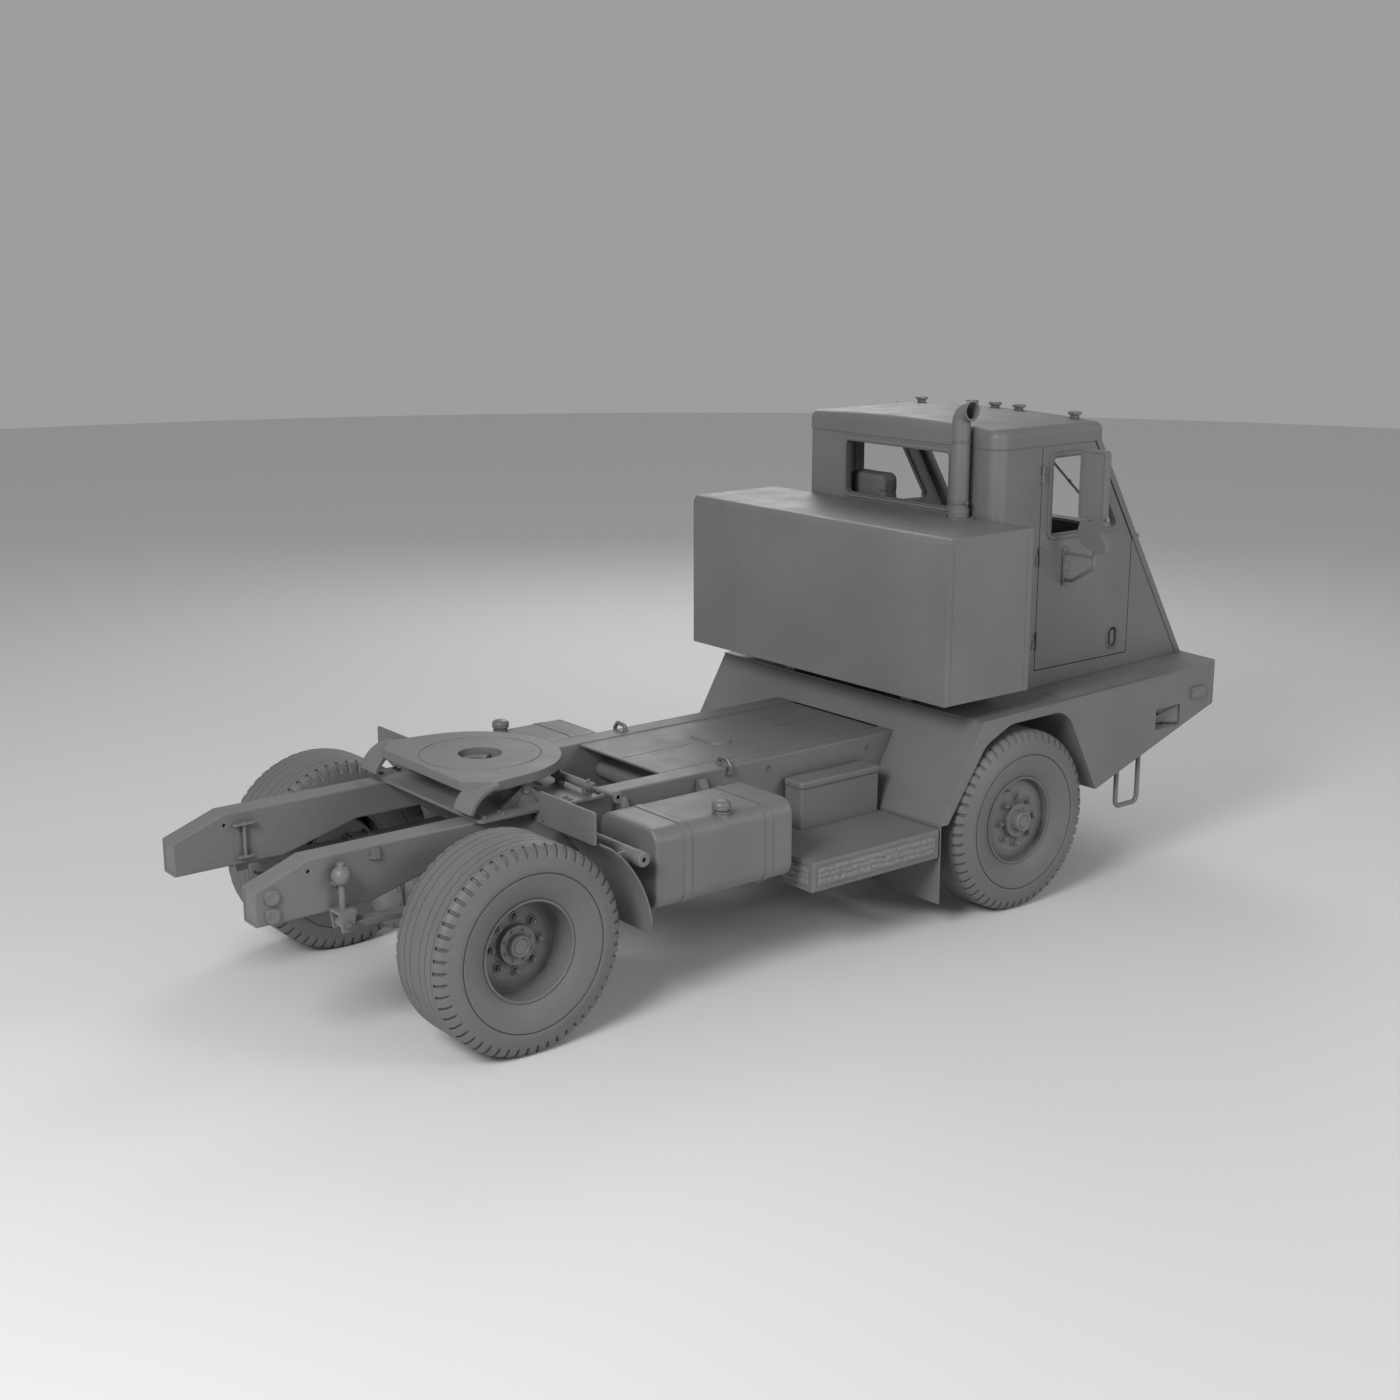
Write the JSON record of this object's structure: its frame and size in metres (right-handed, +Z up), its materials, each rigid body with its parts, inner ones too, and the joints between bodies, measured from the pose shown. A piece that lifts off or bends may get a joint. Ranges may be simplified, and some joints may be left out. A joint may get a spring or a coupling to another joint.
{
  "type": "terminal tractor",
  "caption": "Two-axle terminal tractor with a centred raked cab, rear enclosure, exhaust stack, fifth wheel, steered front wheels and hinged doors.",
  "frame": {"origin": "on the floor under the middle of the vehicle's length and width", "axes": "+Z up, -Y ahead, +X to the vehicle's left"},
  "size_m": [2.39, 6.37, 2.9459],
  "materials": {
    "frame_paint": "satin grey frame paint",
    "body_paint": "smooth grey body paint",
    "cab_paint": "smooth grey cab paint",
    "plate_steel": "non-slip painted plate",
    "cast_parts": "rough grey casting",
    "spring_steel": "dull spring steel",
    "wheel_paint": "semi-matt grey wheel paint",
    "tyre_rubber": "matt rubber",
    "flap_rubber": "matt sheet rubber",
    "tank_metal": "smooth painted tank",
    "pipe_metal": "dull exhaust pipe",
    "lamp_plastic": "satin lens",
    "mirror_plastic": "satin moulded housing",
    "trim_plastic": "grained interior moulding",
    "seat_fabric": "woven seat cloth"
  },
  "bodies": {
    "chassis": {"rail_left": "frame_paint", "rail_right": "frame_paint", "crossmembers": "frame_paint", "deck_plate": "plate_steel", "deck_bearers": "frame_paint", "front_deck": "body_paint", "fender_left": "body_paint", "fender_right": "body_paint", "front_fascia": "body_paint", "apron": "body_paint", "mud_flaps": "flap_rubber", "stirrup_steps": "frame_paint", "side_steps": "plate_steel", "step_hangers": "frame_paint", "battery_boxes": "body_paint", "fuel_tank_left": "tank_metal", "fuel_tank_right": "tank_metal", "tank_brackets": "frame_paint", "lamp_plates": "plate_steel", "mudguards": "body_paint", "rear_box": "body_paint", "exhaust_stack": "pipe_metal", "cab_shell": "cab_paint", "cab_nose": "cab_paint", "cab_roof": "cab_paint", "roof_lamps": "lamp_plastic", "cab_floor": "plate_steel", "dashboard": "trim_plastic", "seat_base": "trim_plastic", "seat_cushion": "seat_fabric", "seat_back": "seat_fabric", "engine": "cast_parts", "rear_axle": "cast_parts", "propeller_shaft": "cast_parts", "leaf_springs": "spring_steel", "spring_hangers": "cast_parts", "front_axle": "cast_parts", "fifth_wheel_base": "cast_parts", "release_cylinder": "cast_parts"},
    "door_left": {"door_left": "cab_paint", "mirror_left": "mirror_plastic"},
    "door_right": {"door_right": "cab_paint", "mirror_right": "mirror_plastic"},
    "knuckle_left": {"knuckle_left": "cast_parts"},
    "knuckle_right": {"knuckle_right": "cast_parts"},
    "tie_rod": {"tie_rod": "cast_parts"},
    "front_wheel_left": {"tyre_front_left": "tyre_rubber", "wheel_front_left": "wheel_paint"},
    "front_wheel_right": {"tyre_front_right": "tyre_rubber", "wheel_front_right": "wheel_paint"},
    "rear_wheel_left": {"tyre_rear_left": "tyre_rubber", "wheel_rear_left": "wheel_paint"},
    "rear_wheel_right": {"tyre_rear_right": "tyre_rubber", "wheel_rear_right": "wheel_paint"},
    "steering_wheel": {"steering_wheel": "trim_plastic"},
    "fifth_wheel": {"fifth_wheel_plate": "cast_parts"}
  },
  "joints": [
    {"name": "door_left_hinge", "type": "hinge", "parent": "chassis", "child": "door_left", "pos_m": [0.834, -1.777, 1.9], "axis": [0, 0, 1], "range_deg": [0, 75]},
    {"name": "door_right_hinge", "type": "hinge", "parent": "chassis", "child": "door_right", "pos_m": [-0.834, -1.777, 1.9], "axis": [0, 0, -1], "range_deg": [0, 75]},
    {"name": "steer_left", "type": "hinge", "parent": "chassis", "child": "knuckle_left", "pos_m": [0.93, -1.335, 0.54], "axis": [0, 0, 1], "range_deg": [-38, 38]},
    {"name": "steer_right", "type": "hinge", "parent": "chassis", "child": "knuckle_right", "pos_m": [-0.93, -1.335, 0.54], "axis": [0, 0, 1], "range_deg": [-38, 38]},
    {"name": "tie_rod_pivot", "type": "hinge", "parent": "knuckle_left", "child": "tie_rod", "pos_m": [0.93, -1.185, 0.425], "axis": [0, 0, 1], "range_deg": [-38, 38]},
    {"name": "front_left_roll", "type": "hinge", "parent": "knuckle_left", "child": "front_wheel_left", "pos_m": [1.045, -1.335, 0.54], "axis": [1, 0, 0], "continuous": true},
    {"name": "front_right_roll", "type": "hinge", "parent": "knuckle_right", "child": "front_wheel_right", "pos_m": [-1.045, -1.335, 0.54], "axis": [1, 0, 0], "continuous": true},
    {"name": "rear_left_roll", "type": "hinge", "parent": "chassis", "child": "rear_wheel_left", "pos_m": [0.927, 2.055, 0.534], "axis": [1, 0, 0], "continuous": true},
    {"name": "rear_right_roll", "type": "hinge", "parent": "chassis", "child": "rear_wheel_right", "pos_m": [-0.927, 2.055, 0.534], "axis": [1, 0, 0], "continuous": true},
    {"name": "steering_wheel_turn", "type": "hinge", "parent": "chassis", "child": "steering_wheel", "pos_m": [0.43, -2.3576, 2.01], "axis": [0, 0.5, 0.866], "continuous": true},
    {"name": "fifth_wheel_tilt", "type": "hinge", "parent": "chassis", "child": "fifth_wheel", "pos_m": [0, 1.645, 1.12], "axis": [1, 0, 0], "range_deg": [-3, 5]}
  ],
  "couplings": [
    {"joint": "steer_right", "follows": "steer_left", "ratio": 1},
    {"joint": "tie_rod_pivot", "follows": "steer_left", "ratio": -1}
  ]
}
